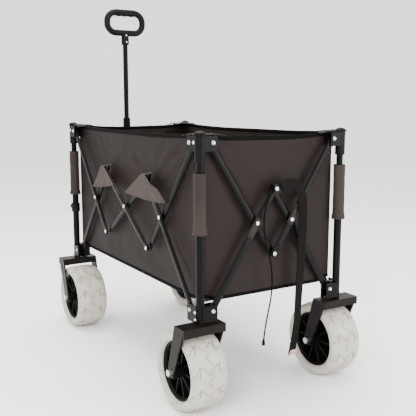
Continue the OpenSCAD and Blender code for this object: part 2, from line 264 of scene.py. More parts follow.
# %% Woven cloth
def woven(name, dark, pale, roughness, thread_mm, depth_mm, cloud_mm=150.0, gloss=0.1):
    made, tree, surface, at = start_material(name, roughness, Specular_IOR_Level=gloss)
    parts = add(tree, "ShaderNodeSeparateXYZ", Vector=at)
    # warp runs up the panel, weft along it; x + y serves walls that face either way
    along = maths(tree, "ADD", parts.outputs[0], parts.outputs[1])
    turn = math.pi / thread_mm
    threads = [maths(tree, "SINE", maths(tree, "MULTIPLY", way, turn)) for way in (along, parts.outputs[2])]
    weave = maths(tree, "MULTIPLY", *threads)
    weave_01 = spread(tree, weave, 0, 1, -1, 1)
    cloud = spread(tree, noise(tree, at, cloud_mm, 4.0), 0, 1)
    base = blend_colours(tree, cloud, dark, pale)
    shade = add(tree, "ShaderNodeMix", {"data_type": "RGBA", "blend_type": "MULTIPLY"})
    shade.inputs[0].default_value = 0.35
    tree.links.new(base, shade.inputs[6])
    tree.links.new(weave_01, shade.inputs[7])
    tree.links.new(shade.outputs[2], surface.inputs["Base Color"])
    tree.links.new(spread(tree, cloud, roughness - 0.05, roughness + 0.06, 0, 1), surface.inputs["Roughness"])
    soft = add(tree, "ShaderNodeBump", Height=noise(tree, at, 45, 3.0), Strength=0.5, Distance=0.8 * MM)
    bump(tree, surface, weave_01, depth_mm, 0.7, under=soft.outputs[0])
    return made


CANVAS = woven("charcoal_canvas", "#1b1412", "#221a17", 0.58, 1.6, 0.12)
FLAP_CANVAS = woven("grey_canvas", "#3a322f", "#453c38", 0.6, 1.6, 0.12)
TAB_CANVAS = woven("dark_tab_canvas", "#171210", "#1e1815", 0.6, 1.6, 0.12)
SLEEVE_CANVAS = woven("grey_sleeve_canvas", "#2b2422", "#352d2a", 0.6, 1.6, 0.12)
LINING = woven("coated_lining", "#1a1412", "#221b18", 0.55, 1.6, 0.1)
BINDING = woven("black_binding_tape", "#070606", "#0c0a0a", 0.6, 1.2, 0.12, gloss=0.03)
WEBBING = woven("black_webbing", "#080706", "#0e0c0b", 0.5, 2.4, 0.3, gloss=0.04)

# %% [markdown]
# ### Foam tyres
# The balloon tyres are moulded EVA foam rubber in a warm light grey. The skin is matt, with faint mottling
# where the foam met the mould, and a painted shade darkens the shallow tread.

# %% Foam rubber
def foam_rubber():
    made, tree, surface, at = start_material("foam_rubber", 0.68, Specular_IOR_Level=0.35)
    cloud = spread(tree, noise(tree, at, 35, 4.0), 0, 1)
    foam_colour = blend_colours(tree, cloud, "#a39e91", "#b8b3a7")
    groove = add(tree, "ShaderNodeAttribute", {"attribute_name": "groove"}).outputs["Fac"]
    # painted shade: the deeper the groove, the darker the foam is painted there
    groove_shade = spread(tree, groove, 0, 0.75, 0, 1)
    tree.links.new(blend_colours(tree, groove_shade, foam_colour, "#5f594e"), surface.inputs["Base Color"])
    bump(tree, surface, noise(tree, at, 1.4, 2.0), 0.12, 0.5)
    return made


FOAM = foam_rubber()
CREAM_TAPE = woven("cream_strap_end", "#a98c80", "#bda197", 0.6, 2.0, 0.2)

# %% [markdown]
# ### The studio floor
# A wide pale sheet carries the contact shadows. It belongs to the studio and isn't part of the cart.

# %% Lay the floor
floor_surface, floor_tree, _, _ = start_material("pale_floor", 0.7)
floor_tree.nodes["Principled BSDF"].inputs["Base Color"].default_value = linear("#fbfbfa")
bpy.ops.mesh.primitive_plane_add(size=14)
ground = bpy.context.object
ground.name = "studio_floor"
ground.data.materials.append(floor_surface)

# %% [markdown]
# ## Building meshes
# Most pieces here are lofts: a ring of points is placed at each station of a path, and neighbouring rings
# are joined with quads. It suits tubes, bars, tyres, straps and grips alike, because only the ring and the
# path change.

# %% Mesh helpers
def smooth_step(x):
    x = np.clip(x, 0, 1)
    return x * x * (3 - 2 * x)


def piece(name, points, faces, material):
    """A new mesh object from points in metres and faces."""
    data = bpy.data.meshes.new(name)
    data.from_pydata([tuple(map(float, p)) for p in points], [], faces)
    data.materials.append(material)
    made = bpy.data.objects.new(name, data)
    bpy.context.scene.collection.objects.link(made)
    tidy = bmesh.new()
    tidy.from_mesh(data)
    bmesh.ops.recalc_face_normals(tidy, faces=tidy.faces)
    tidy.to_mesh(data)
    tidy.free()
    for face in data.polygons:
        face.use_smooth = True
    return made


def loft(rings, ends=True, loop=False):
    """Joins rings of equal length with quads.

    ends closes the first and the last ring; loop joins the last to the first instead.
    """
    count = len(rings[0])
    points = [p for ring in rings for p in ring]
    faces = []
    for i in range(len(rings) - (0 if loop else 1)):
        a, b = i * count, (i + 1) % len(rings) * count
        faces += [(a + j, a + (j + 1) % count, b + (j + 1) % count, b + j) for j in range(count)]
    if ends and not loop:
        faces.append(tuple(range(count))[::-1])
        faces.append(tuple((len(rings) - 1) * count + j for j in range(count)))
    return points, faces


def superellipse(half_a, half_b, power, count):
    """Points of a rounded outline: power 2 is an ellipse, and a larger one is squarer."""
    out = []
    for i in range(count):
        t = 2 * math.pi * i / count
        a, b = (math.copysign(abs(way) ** (2 / power), way) for way in (math.cos(t), math.sin(t)))
        out.append((half_a * a, half_b * b))
    return out


def tube(path, half_a, half_b, side_axis, count=16, power=2.0):
    """A loft along path whose ring has half_a along side_axis and half_b across it. Sizes may be lists."""
    path = [Vector(p) for p in path]
    rings = []
    for i, p in enumerate(path):
        ahead = (path[min(i + 1, len(path) - 1)] - path[max(i - 1, 0)]).normalized()
        side = Vector(side_axis)
        side = (side - ahead * side.dot(ahead)).normalized()
        up = ahead.cross(side)
        a = half_a[i] if isinstance(half_a, (list, tuple)) else half_a
        b = half_b[i] if isinstance(half_b, (list, tuple)) else half_b
        rings.append([p + side * x + up * y for x, y in superellipse(a, b, power, count)])
    return rings


def lathe(profile, centre, axis, count=32):
    """Rings of a turned piece. profile is (radius, distance along the axis)."""
    axis = Vector(axis).normalized()
    first = axis.orthogonal().normalized()
    second = axis.cross(first)
    turns = [2 * math.pi * j / count for j in range(count)]
    spokes = [first * math.cos(turn) + second * math.sin(turn) for turn in turns]
    return [[Vector(centre) + axis * along + spoke * radius for spoke in spokes] for radius, along in profile]


def soften(obj, width_mm):
    """Rounds the sharp edges of a CAD piece, as pressing and moulding do."""
    edge = obj.modifiers.new("rounded_edges", "BEVEL")
    edge.width = width_mm * MM
    edge.segments = 2
    edge.limit_method = "ANGLE"
    edge.angle_limit = math.radians(35)


def put_on(obj, body):
    """Fixes a piece to the body it moves with."""
    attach(obj, body)


def finish_node(name, material, width_mm):
    """Gives a CAD node its finish and rounded edges."""
    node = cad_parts[name]
    node.data.materials.clear()
    node.data.materials.append(material)
    soften(node, width_mm)


# %% [markdown]
# ## Where everything is
# The cart has four sides. Each has its own plane, with one direction along the wall, one up and one outward.
# The places of the bars are read back from the CAD model: a bar's box, less half its width, ends at its two
# pivots.

# %% Sides, corners and bars
BAR_W = 20 * MM
CORNERS = {"fl": (1, 1), "rl": (-1, 1), "rr": (-1, -1), "fr": (1, -1)}
SIDES = {"front": ((0, 1, 0), (1, 0, 0)), "left": ((-1, 0, 0), (0, 1, 0)),
         "rear": ((0, -1, 0), (-1, 0, 0)), "right": ((1, 0, 0), (0, -1, 0))}
# each bar: does it rise along its side, and is it in the outer layer
SHORT_BARS = [(True, True), (False, False), (False, False), (True, True)]
LONG_BARS = [(False, True), (True, False), (True, False), (False, True), (False, True), (True, False)]
UP = Vector((0, 0, 1))
FORWARD = Vector((1, 0, 0))
LEFTWARD = Vector((0, 1, 0))


def is_short(side):
    return side in ("front", "rear")


def outward(side):
    return Vector(SIDES[side][1])


def bars_of(side):
    return SHORT_BARS if is_short(side) else LONG_BARS


def span_along(node, direction):
    """How far a CAD node reaches along a direction, lowest and highest."""
    low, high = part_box(node)
    ends = [sum((low[i], high[i])[(corner >> i) & 1] * direction[i] for i in range(3)) for corner in range(8)]
    return min(ends), max(ends)


LAYER_N = {}
for side, (u, n) in SIDES.items():
    for outer, number in ((True, 1), (False, 2 if is_short(side) else 3)):
        LAYER_N[side, outer] = sum(span_along(f"{side}_bar_{number}", n)) / 2
BAR_T = np.ptp(span_along("rear_bar_1", SIDES["rear"][1]))


def bar_ends(side, number):
    """The two pivots of a bar as (along, up), in order along the side."""
    rising, _ = bars_of(side)[number - 1]
    u0, u1 = span_along(f"{side}_bar_{number}", SIDES[side][0])
    z0, z1 = span_along(f"{side}_bar_{number}", UP)
    u0, u1, z0, z1 = u0 + BAR_W / 2, u1 - BAR_W / 2, z0 + BAR_W / 2, z1 - BAR_W / 2
    return ((u0, z0), (u1, z1)) if rising else ((u0, z1), (u1, z0))


def crossing(side, a, b):
    """Where two bars of a side cross."""
    (p, q), (r, s) = bar_ends(side, a), bar_ends(side, b)
    p, q, r, s = map(np.array, (p, q, r, s))
    t = np.linalg.solve(np.array([q - p, r - s]).T, r - p)[0]
    return tuple(p + (q - p) * t)


def on_side(side, along, up, out):
    """A point in the row frame from a side's own coordinates."""
    u, n = SIDES[side]
    return Vector(u) * along + Vector(n) * out + UP * up


def bar_line(side, number):
    """The two pivots of a bar as points of the row frame."""
    out = LAYER_N[side, bars_of(side)[number - 1][1]]
    return [on_side(side, *pivot, out) for pivot in bar_ends(side, number)]


print("bar thickness", round(BAR_T / MM, 2), "mm; layers", {k: round(v / MM, 1) for k, v in LAYER_N.items()})

# %% [markdown]
# ## The crossed bars
# Each bar is an oval tube, pressed flat where a rivet goes through. A loft with an oval ring does this: the
# ring gets thinner towards each pivot, and its width closes as half a circle past the pivot.

# %% Build the bars
PRESSED, FULL_FROM = 0.62, 32 * MM


def build_bar(side, number):
    """An oval tube, PRESSED to a share of its thickness at each pivot and full from FULL_FROM on."""
    start, end = bar_line(side, number)
    length = (end - start).length
    ahead = (end - start).normalized()
    r = BAR_W / 2
    steps = [-r * math.cos(math.radians(a)) for a in range(0, 90, 15)]
    flat = [0, 8 * MM, 14 * MM, 20 * MM, 26 * MM, FULL_FROM]
    middle = [40 * MM + (length - 80 * MM) * i / 8 for i in range(9)]
    stations = steps + flat + middle + [length - s for s in reversed(steps + flat)]
    rings = []
    across = ahead.cross(outward(side)).normalized()
    for s in stations:
        past = max(-s, s - length, 0)
        half_w = math.sqrt(max(r * r - past * past, (0.5 * MM) ** 2))
        inside = min(max(min(s, length - s) - 12 * MM, 0) / (18 * MM), 1)
        half_t = BAR_T / 2 * (PRESSED + (1 - PRESSED) * smooth_step(inside))
        power = 3.6 - 1.2 * inside
        rings.append([start + ahead * s + across * x + outward(side) * y
                      for x, y in superellipse(half_w, half_t, power, 20)])
    made = piece(f"{side}_tube_{number}", *loft(rings), BAR_COAT)
    put_on(made, f"{side}_arm_{number}")
    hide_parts(f"{side}_bar_{number}")


for side in SIDES:
    for number in range(1, len(bars_of(side)) + 1):
        build_bar(side, number)
print("built", sum(len(bars_of(side)) for side in SIDES), "bars")

# %% [markdown]
# ## Rivets
# Each joint is a steel rivet with a low domed head on a thin washer. The shanks pass through the bars.

# %% Build the rivets
HEAD_R = 4.9 * MM
WASHER_R = 6.0 * MM
SHANK_R = 2.9 * MM
FACE_N = {side: LAYER_N[side, True] + BAR_T / 2 for side in SIDES}


def rivet_head(name, centre, axis, body, radius=HEAD_R, washer=WASHER_R):
    """A domed head on a washer, standing on the point centre and facing along axis."""
    profile = [(0.1 * MM, 0), (washer, 0), (washer, 0.7 * MM), (radius, 0.8 * MM)]
    profile += [(radius * math.cos(math.radians(a)), 0.8 * MM + 2.2 * MM * math.sin(math.radians(a)))
                for a in (15, 30, 45, 60, 75, 86)]
    put_on(piece(name, *loft(lathe(profile, centre, axis, 20)), ZINC), body)


def joint_rivet(side, number, place, body):
    """Both heads and the shank of one joint."""
    n = outward(side)
    front = on_side(side, *place, FACE_N[side] - 0.2 * MM)
    back = on_side(side, *place, LAYER_N[side, False] - BAR_T / 2 + 0.2 * MM)
    rivet_head(f"{side}_rivet_{number}", front, n, body)
    rivet_head(f"{side}_rivet_back_{number}", back, -n, body)
    shank = loft(lathe([(SHANK_R, 0), (SHANK_R, (front - back).length)], back, n, 16))
    made = piece(f"{side}_shank_{number}", *shank, ZINC)
    put_on(made, body)
    return made


for side in SIDES:
    if is_short(side):
        joints = [(bar_ends(side, 1)[1], 1), (crossing(side, 1, 2), 1), (crossing(side, 3, 4), 4),
                  (bar_ends(side, 4)[0], 4)]
    else:
        joints = [(bar_ends(side, 3)[0], 3), (crossing(side, 3, 4), 3), (bar_ends(side, 3)[1], 3),
                  (crossing(side, 1, 2), 2), (bar_ends(side, 2)[1], 2), (crossing(side, 5, 6), 6),
                  (bar_ends(side, 6)[0], 6)]
    for number, (place, arm) in enumerate(joints, 1):
        shank = joint_rivet(side, number, place, f"{side}_arm_{arm}")
        if number == 1:
            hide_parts(f"{side}_rivets")

# %% [markdown]
# ## Steel and plastic that keep their CAD shape
# Posts, forks, brackets and handle tubes are right as the CAD has them, so they only get rounded edges and a
# finish. Where one CAD piece holds two materials, such as a zinc nut on a painted fork, its faces are given
# the second material by where they lie.

# %% Finish the CAD pieces
def paint_faces(name, material, chosen):
    """Gives a second material to the faces of a CAD node whose centres pass the test."""
    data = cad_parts[name].data
    data.materials.append(material)
    for face in data.polygons:
        if chosen(face.center):
            face.material_index = len(data.materials) - 1


PIVOT_TO_POST = 32 * MM
BRACKET_BELOW_PIVOT = 47 * MM
NUT_LENGTH = 7.9 * MM
POST_X = -bar_ends("left", 1)[0][0] + PIVOT_TO_POST
POST_Y = -bar_ends("rear", 1)[0][0] + PIVOT_TO_POST
LOW_Z = bar_ends("left", 2)[0][1]
TOP_Z = bar_ends("left", 1)[0][1]
PLATE_FACE = 12.8 * MM
for corner, (_, sy) in CORNERS.items():
    finish_node(f"post_{corner}", BAR_COAT, 1.0)
    finish_node(f"upper_post_{corner}", BRACKET_PLASTIC, 1.4)
    paint_faces(f"upper_post_{corner}", BAR_COAT, lambda c: c.z < TOP_Z - BRACKET_BELOW_PIVOT)
    finish_node(f"fork_{corner}", FORK_COAT, 1.2)
    fork_low, fork_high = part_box(f"fork_{corner}")
    nut_at = (fork_high.y - fork_low.y) / 2 - NUT_LENGTH
    paint_faces(f"fork_{corner}", ZINC, lambda c: abs(c.y - sy * POST_Y) > nut_at)
    finish_node(f"rim_{corner}", RIM_PLASTIC, 1.0)
for name in ("handle_mount", "post_clip"):
    finish_node(name, BRACKET_PLASTIC, 1.0)
for name in ("handle_tube", "handle_slider"):
    finish_node(name, BAR_COAT, 0.8)
finish_node("strap_tab", BAR_COAT, 0.5)

# %% [markdown]
# ### Bracket rivets
# Each bracket holds its post with small rivets beside the bar pivots. The long side of a corner shows more
# of them than the short side.

# %% Place the bracket rivets
def side_of(corner, long_side):
    """The side that a corner's plate belongs to, and the post's place along it."""
    sx, sy = CORNERS[corner]
    side = {1: "left", -1: "right"}[sy] if long_side else {1: "front", -1: "rear"}[sx]
    u = SIDES[side][0]
    return side, u[0] * sx * POST_X + u[1] * sy * POST_Y


PLATE_RIVETS = {True: ((-32, 0), (-3, 0), (-2, -19)), False: ((-32, 0),)}
TOP_RIVETS = {True: ((-32, 0), (-8, 1)), False: ((-32, 0),)}
BRACKET_RIVETS = (("foot", PLATE_RIVETS, LOW_Z, "corner"), ("head", TOP_RIVETS, TOP_Z, "top"))
for corner in CORNERS:
    for long_side in (True, False):
        side, at = side_of(corner, long_side)
        toward = -1 if at > 0 else 1
        out = (POST_Y if long_side else POST_X) + PLATE_FACE
        for label, rivets, z, body in BRACKET_RIVETS:
            for i, (step, rise) in enumerate(rivets[long_side]):
                # the first one is the bar's own pivot, which is bigger
                head, washer, lift = (3.8, 4.6, 0.8) if i else (5.4, 6.0, 0)
                where = on_side(side, at - toward * step * MM, z + rise * MM, out + lift * MM)
                rivet_head(f"{label}_rivet_{corner}_{side}_{i}", where, outward(side), f"{body}_{corner}",
                           head * MM, washer * MM)

# %% [markdown]
# ### Bar sheaths
# Some bars carry a short plastic sleeve where another bar would rub on the paint. It is a shade lighter than
# the bar.

# %% Build the sheaths
def sheath(side, number, share, length_mm):
    """A sleeve around a bar, centred at share of its length."""
    start, end = bar_line(side, number)
    half = length_mm * MM / 2
    middle = start.lerp(end, share)
    ahead = (end - start).normalized()
    path = [middle + ahead * s for s in (-half, -half + 1.5 * MM, half - 1.5 * MM, half)]
    a, b = BAR_W / 2 + 0.4 * MM, BAR_T / 2 + 0.35 * MM
    rings = tube(path, [a - 0.4 * MM, a, a, a - 0.4 * MM], [b - 0.3 * MM, b, b, b - 0.3 * MM],
                 ahead.cross(outward(side)), 24, 2.5)
    made = piece(f"{side}_sheath_{number}", *loft(rings), SHEATH_PLASTIC)
    put_on(made, f"{side}_arm_{number}")


SHEATHS = {True: ((1, 0.665, 58), (4, 0.33, 58)), False: ((4, 0.3, 60), (5, 0.26, 60))}
for side in SIDES:
    for place in SHEATHS[is_short(side)]:
        sheath(side, *place)

# %% [markdown]
# ## The tub walls
# Each wall is one sheet of coated canvas, pulled tight between two posts and bound along its rim. Real walls
# are never flat: they belly in where nothing holds them, and the pull of the corners and of the sewn patches
# leaves shallow creases. The sheet is a fine grid, pressed inward by broad waves and by a few narrow folds.

# %% Wall shapes
class Wall:
    """One wall in its side's coordinates: u along, z up, n outward, all in metres."""

    def __init__(self, side, seed):
        self.side = side
        u, n = SIDES[side]
        self.u0, self.u1 = span_along(f"wall_{side}", u)
        self.n0, self.n1 = span_along(f"wall_{side}", n)
        if not is_short(side):
            # the side walls reach the end walls, as they are sewn to them
            self.u0, self.u1 = self.u0 - 2.5 * MM, self.u1 + 2.5 * MM
        low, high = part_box(f"wall_{side}")
        self.z0, self.z1 = low.z, high.z
        picks = random.Random(seed)
        ranges = ((5, 19), (3, 14), (0, 6.3), (0.4, 1))
        self.waves = [[picks.uniform(*span) for span in ranges] for _ in range(9)]
        self.creases = []
        self.sag = (9 if is_short(side) else 7) * MM

    def rim(self, u):
        """Height of the wall's upper edge, which sags between the corners."""
        t = (u - self.u0) / (self.u1 - self.u0)
        return self.z1 - 1.5 * MM - self.sag * 4 * t * (1 - t) - 0.8 * MM * np.sin(11 * t)

    def foot(self, u):
        """Height of the lower edge, which is drawn up at its ends."""
        from_end = np.minimum(u - self.u0, self.u1 - u)
        return self.z0 + 3.2 * MM + 12 * MM * (1 - smooth_step(from_end / (45 * MM)))

    def depth(self, u, z):
        """How far the sheet lies inward of the outer face of its CAD solid."""
        t = (u - self.u0) / (self.u1 - self.u0)
        v = (z - self.z0) / (self.z1 - self.z0)
        held = smooth_step(np.minimum(t, 1 - t) * (self.u1 - self.u0) / 0.07)
        held = held * smooth_step(v / 0.14) * smooth_step((1 - v) / 0.12)
        broad = sum(a * np.sin(p * t + q * v + f) for p, q, f, a in self.waves) / 3
        belly = 5.5 * np.sin(math.pi * t) * np.sin(math.pi * v)
        fine = 0.35 * np.sin(61 * t + 17 * v + 2 * np.sin(9 * v)) * np.sin(23 * v - 13 * t)
        out = held * (belly + 2.1 * broad + fine)
        for (ua, za), (ub, zb), half, height in self.creases:
            along = np.array([ub - ua, zb - za])
            size = np.hypot(*along)
            along = along / size
            s = ((u - ua) * along[0] + (z - za) * along[1]) / size
            across = -(u - ua) * along[1] + (z - za) * along[0]
            fade = smooth_step((s + 0.15) / 0.4) * smooth_step((1.15 - s) / 0.4)
            ridge, dip = (np.exp(-((across - shift * half) / half) ** 2) for shift in (0, 1.8))
            out = out + height * fade * (ridge - 0.6 * dip)
        return np.clip(out, 0.1, 14) * MM

    def at(self, u, z, lift=0.0):
        """A point of the sheet, lifted outward by lift."""
        return on_side(self.side, float(u), float(z), self.n1 - float(self.depth(u, z)) + lift)


WALLS = {side: Wall(side, seed) for seed, side in enumerate(SIDES, 21)}
T_JOINTS = {side: (bar_ends(side, 2)[1], bar_ends(side, 3)[1]) for side in ("left", "right")}
CORNER_CREASES = (((0.03, -0.05), (0.14, -0.17), 0.008, 2.6), ((0.05, -0.02), (0.19, -0.07), 0.010, 2.0))
FOOT_CREASE = ((0.04, 0.05), (0.15, 0.15), 0.010, 1.8)
FRONT_CREASES = (((0.06, -0.075), (0.15, -0.1), 0.012, 2.8), ((0.07, -0.03), (0.16, -0.065), 0.009, 2.6))
JOINT_CREASES = (((0.02, 0.03), (0.09, 0.11), 0.013, 1.3), ((0.03, 0.01), (0.17, 0.09), 0.013, 2.4),
                 ((-0.02, 0.01), (-0.14, 0.06), 0.013, 1.8))


def add_crease(wall, u, z, toward, crease):
    """A fold between two offsets from (u, z), the first number of each counted along toward."""
    (step_a, rise_a), (step_b, rise_b), half, height = crease
    wall.creases.append(((u + toward * step_a, z + rise_a), (u + toward * step_b, z + rise_b), half, height))


for side, wall in WALLS.items():
    for end, toward in ((wall.u0, 1), (wall.u1, -1)):
        for crease in CORNER_CREASES:
            add_crease(wall, end, wall.z1, toward, crease)
        add_crease(wall, end, wall.z0, toward, FOOT_CREASE)
for side, end, toward in (("left", WALLS["left"].u1, -1), ("right", WALLS["right"].u0, 1)):
    for crease in FRONT_CREASES:
        add_crease(WALLS[side], end, WALLS[side].z1, toward, crease)
for side, joints in T_JOINTS.items():
    for (u, z), lean in zip(joints, (-1, 1)):
        for crease in JOINT_CREASES:
            add_crease(WALLS[side], u, z, lean, crease)

# %% [markdown]
# ### Folding with the frame
# When the cart folds, the posts come together and real canvas crumples between them. Each wall hangs from
# the upper post at one of its ends and moves with it. The upper posts also rise out of the lower ones as
# the frame closes. So a strip behind each wall's foot, the skirt, stays down with the floor and keeps the
# tub closed.

# %% Build the sheets
WALL_CORNER = {"rear": "rl", "left": "rl", "front": "fl", "right": "rr"}


def fold_with(obj, side, post_part="top"):
    """Rides on the wall's post, on its upper or its lower part, with its own copy of the mesh."""
    put_on(obj, f"{post_part}_{WALL_CORNER[side]}")
    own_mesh(obj)


def solidify(obj, thickness, offset, inner=None):
    """Gives a sheet its thickness, with another material inside where inner is given."""
    layer = obj.modifiers.new("thickness", "SOLIDIFY")
    layer.thickness = thickness
    layer.offset = offset
    if inner is not None:
        obj.data.materials.append(inner)
        layer.material_offset = 1
    return obj


def face_toward(obj, direction):
    """Turns a sheet's faces over if they look away from direction."""
    data = obj.data
    if sum(face.normal.dot(direction) * face.area for face in data.polygons) < 0:
        data.flip_normals()


def grid_faces(rows, columns):
    return [(i * columns + j, i * columns + j + 1, (i + 1) * columns + j + 1, (i + 1) * columns + j)
            for i in range(rows - 1) for j in range(columns - 1)]


def wall_sheet(side):
    wall = WALLS[side]
    columns, rows = (97 if is_short(side) else 161), 81
    points = []
    for v in np.linspace(0, 1, rows):
        for u in np.linspace(wall.u0, wall.u1, columns):
            z = wall.foot(u) + v * (wall.rim(u) - wall.foot(u))
            points.append(wall.at(u, z))
    made = piece(f"{side}_canvas", points, grid_faces(rows, columns), CANVAS)
    face_toward(made, outward(side))
    solidify(made, 1.2 * MM, -1.0, LINING)
    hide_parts(f"wall_{side}")
    return made


def skirt(side):
    """The strip behind a wall's foot. It stays with the floor when the wall rises with the upper posts."""
    wall = WALLS[side]
    columns, rows, height = 81, 13, 80 * MM
    points = []
    for v in np.linspace(0, 1, rows):
        for u in np.linspace(wall.u0 + 1 * MM, wall.u1 - 1 * MM, columns):
            z = wall.foot(u) + 1 * MM + v * (wall.z0 + height - wall.foot(u))
            points.append(wall.at(u, z, -1.6 * MM - 2.5 * MM * smooth_step((v - 0.65) / 0.3)))
    made = piece(f"{side}_skirt", points, grid_faces(rows, columns), CANVAS)
    face_toward(made, outward(side))
    return solidify(made, 0.8 * MM, -1.0, LINING), (wall.u1 - wall.u0, height)


def edge_strip(name, side, height, lift, half_n, half_z, power):
    """Tape or piping that follows an edge of a wall. height gives the edge's height at u."""
    wall = WALLS[side]
    path = [wall.at(u, height(u), lift) for u in np.linspace(wall.u0 + 1.5 * MM, wall.u1 - 1.5 * MM, 61)]
    return piece(name, *loft(tube(path, half_n, half_z, outward(side), 16, power)), BINDING)


sheets = {}
for side, wall in WALLS.items():
    sheets[side] = wall_sheet(side)
    tape = edge_strip(f"{side}_rim_binding", side, lambda u: wall.rim(u) - 3.4 * MM,
                      lift=-0.6 * MM, half_n=2.1 * MM, half_z=5.8 * MM, power=3.4)
    welt = edge_strip(f"{side}_foot_piping", side, lambda u: wall.foot(u) + 1.2 * MM,
                      lift=0.0, half_n=3.0 * MM, half_z=4.6 * MM, power=2.4)
    strip, strip_size = skirt(side)
    for obj in (sheets[side], tape):
        fold_with(obj, side)
    for obj in (strip, welt):
        fold_with(obj, side, "corner")

# %% [markdown]
# ### Patches over the top joints
# On each long side two lighter patches are sewn over the joints where the bars peak, so that nothing catches
# in them. Each is a triangular flap: sewn to the wall at its peak, spread over the bars, and free at its
# sides and below.

# %% Build the patches
# how far the lower corners reach from the joint, along the side and down, in mm: the corner toward the post,
# then the one toward the middle
PATCH_CORNERS = {"front": ((96, 64), (88, 42)), "rear": ((112, 58), (124, 55))}
PATCH_TOP, PATCH_TOP_HALF = 13 * MM, 6 * MM


def patch(side, number, place):
    wall = WALLS[side]
    u_mid, z_mid = place
    rows, columns = 30, 49
    toward_post = -1 if u_mid < 0 else 1
    at_post, at_middle = PATCH_CORNERS["front" if on_side(side, u_mid, 0, 0).x > 0 else "rear"]
    proud = FACE_N[side] + 4.6 * MM - wall.n1
    phase = random.Random(number * 7 + len(side)).uniform(0, 6)
    points = []
    for i in range(rows):
        # rows lie closer together at the top, where the cloth turns back to the wall
        down = (i / (rows - 1)) ** 1.6
        for j in range(columns):
            x = math.sin(math.pi * (j / (columns - 1) - 0.5))
            reach = (at_post if x * toward_post > 0 else at_middle)[0] * MM
            half = PATCH_TOP_HALF + (reach - PATCH_TOP_HALF) * down
            share = (1 + x * toward_post) / 2
            drop = (at_middle[1] + (at_post[1] - at_middle[1]) * share + 3 * (1 - x * x)) * MM
            u = u_mid + x * half
            z = z_mid + PATCH_TOP - (PATCH_TOP + drop) * down
            rise = smooth_step((z_mid + PATCH_TOP - z) / (5 * MM))
            if x * toward_post > 0:
                curl = 1 - smooth_step((1 - abs(x)) * half / (10 * MM))
                rise *= 1 - 0.4 * curl * smooth_step((down - 0.3) / 0.3)
            slack = (0.7 * math.sin(6.2 * x + phase) + 0.4 * math.sin(11 * x + 6 * down + phase)) * down * MM
            hollow = 1.2 * MM * down * (1 - x * x) ** 2
            stands = proud + float(wall.depth(u, z))
            points.append(wall.at(u, z, 1.2 * MM + rise * (stands - 1.2 * MM - hollow + slack)))
    made = piece(f"{side}_patch_{number}", points, grid_faces(rows, columns), FLAP_CANVAS)
    face_toward(made, outward(side))
    solidify(made, 1.0 * MM, 1.0)
    hem_path = [Vector(point) + outward(side) * 0.5 * MM for point in points[-columns:]]
    hem_rings = tube(hem_path, 1.3 * MM, 2.2 * MM, outward(side), 10, 2.4)
    hem = piece(f"{side}_patch_hem_{number}", *loft(hem_rings), FLAP_CANVAS)
    return made, hem


for side, places in T_JOINTS.items():
    for number, place in enumerate(places, 1):
        made, hem = patch(side, number, place)
        # the joints below come together faster than the wall does; each patch rides on the same post as its
        # wall
        for obj in (made, hem):
            fold_with(obj, side)

# %% [markdown]
# ### Corner tabs
# The sheet is fixed to the frame at its corners. A dark canvas tab lies over each top bracket, and the
# post's cap comes up through it.

# %% Build the corner tabs
TAB_INNER, TAB_OUTER, TAB_CUT = -74 * MM, 9 * MM, 84 * MM


def corner_tab(corner):
    sx, sy = CORNERS[corner]
    top = WALLS["left"].z1
    count = 17
    points = []
    for i in range(count):
        for j in range(count):
            # from the inner corner of the tub out over the two wings of the bracket
            x, y = (TAB_INNER + (TAB_OUTER - TAB_INNER) * k / (count - 1) for k in (i, j))
            cut = max(0.0, -(x + y) - TAB_CUT) / 2
            x, y = x + cut, y + cut
            dome = 3.0 * MM * math.exp(-((x + 16 * MM) ** 2 + (y + 16 * MM) ** 2) / (26 * MM) ** 2)
            drop = 1.6 * MM * smooth_step((max(x, y) - 4 * MM) / (6 * MM))
            drop += 4 * MM * smooth_step((-min(x, y) - 52 * MM) / (22 * MM))
            ripple = 0.5 * MM * math.sin(225 * x + 100 * y)
            points.append((sx * (POST_X + x), sy * (POST_Y + y), top + 0.2 * MM + dome - drop + ripple))
    made = piece(f"corner_tab_{corner}", points, grid_faces(count, count), TAB_CANVAS)
    face_toward(made, UP)
    solidify(made, 1.0 * MM, 1.0)
    put_on(made, f"top_{corner}")


for corner in CORNERS:
    corner_tab(corner)

# %% [markdown]
# ### Post sleeves
# A grey canvas sleeve is wrapped round each post at half height, with a hem at its lower end.

# %% Build the sleeves
SLEEVE_Z = (473 * MM, 627 * MM)
SLEEVE_R = 16.2 * MM


def sleeve(corner, seed):
    sx, sy = CORNERS[corner]
    picks = random.Random(seed)
    phases = [picks.uniform(0, 6.3) for _ in range(4)]
    count, rows = 40, 34
    rings = []
    for i in range(rows):
        v = i / (rows - 1)
        z = SLEEVE_Z[0] + (SLEEVE_Z[1] - SLEEVE_Z[0]) * v
        flare = 2.6 * MM * (1 - smooth_step(v / 0.12)) + 0.5 * MM * (1 - smooth_step(v / 0.5))
        hem_roll = 0.5 * MM if 0.04 < v < 0.075 or v > 0.965 else 0.0
        ring = []
        for j in range(count):
            a = 2 * math.pi * j / count
            fold = 0.55 * math.sin(3 * a + phases[0] + 1.2 * v) + 0.35 * math.sin(5 * a + phases[1] - 2 * v)
            crease = 0.3 * math.sin(24 * v + 2 * a + phases[2])
            r = SLEEVE_R + flare + hem_roll + (fold + crease) * 0.7 * MM
            ring.append(Vector((sx * POST_X + r * math.cos(a), sy * POST_Y + r * math.sin(a), z)))
        rings.append(ring)
    made = piece(f"post_sleeve_{corner}", *loft(rings, ends=False), SLEEVE_CANVAS)
    solidify(made, 1.2 * MM, -1.0)
    put_on(made, f"corner_{corner}")


for seed, corner in enumerate(CORNERS, 5):
    sleeve(corner, seed)

# %% [markdown]
# ## The padded floor
# Two padded boards make the floor and fold up along the middle. Each has sewn channels that press it into
# shallow pillows.

